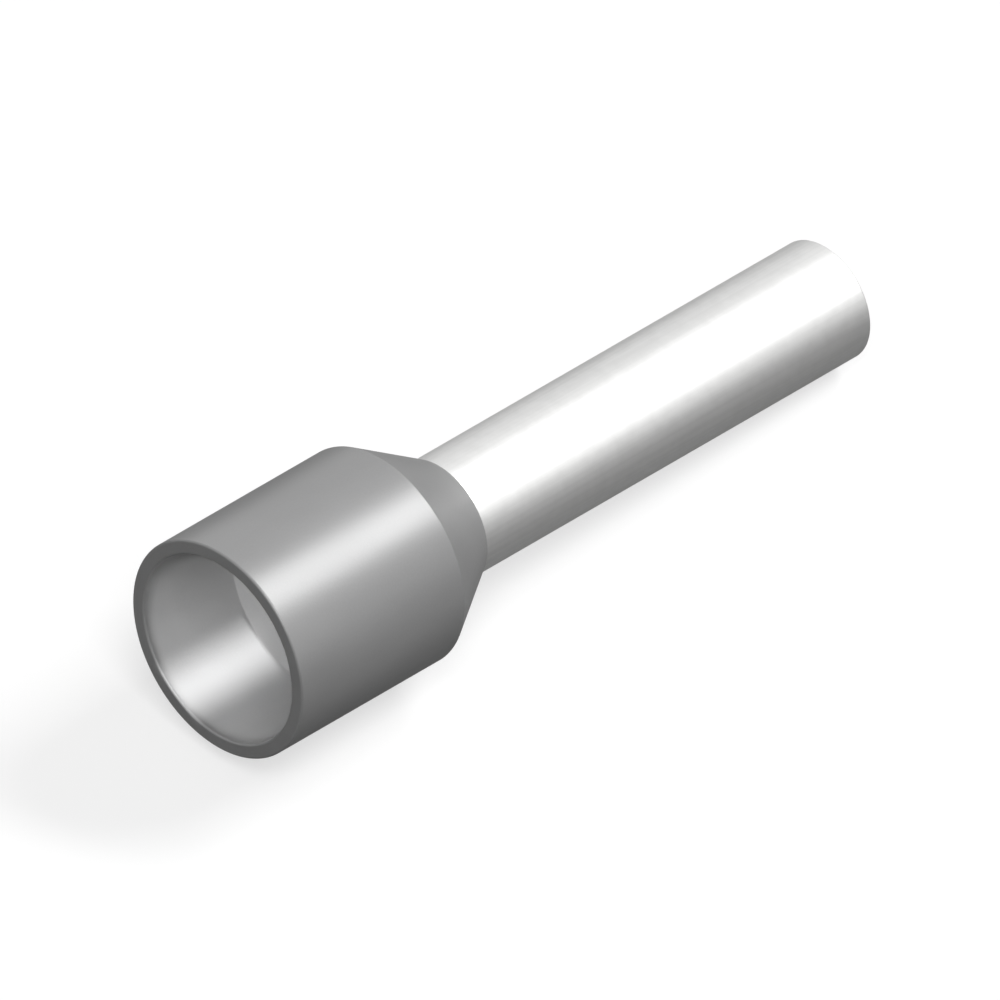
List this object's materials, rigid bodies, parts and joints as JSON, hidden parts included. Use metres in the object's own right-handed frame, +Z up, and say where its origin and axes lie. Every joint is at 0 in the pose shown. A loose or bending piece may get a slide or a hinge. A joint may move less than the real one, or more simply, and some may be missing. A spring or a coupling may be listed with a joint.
{
  "type": "insulated wire ferrule",
  "caption": "Insulated wire-end ferrule: a tinned copper crimp sleeve with a grey plastic entry collar, for a fine stranded wire.",
  "frame": {"origin": "centre of the bounding box at the surface that the ferrule lies on", "axes": "+Z up, +X from the collar's mouth towards the sleeve's cut end, seen from above; the ferrule's own axis tips down by 4.98 degrees towards +X, because it lies on the collar's shoulder edge and the sleeve's cut end; +Y across"},
  "size_m": [0.0202, 0.0056, 0.006],
  "materials": {
    "tinned_copper": "satin",
    "grey_polypropylene": "satin"
  },
  "bodies": {
    "root": {"crimp_sleeve": "tinned_copper", "insulating_collar": "grey_polypropylene"}
  },
  "joints": []
}
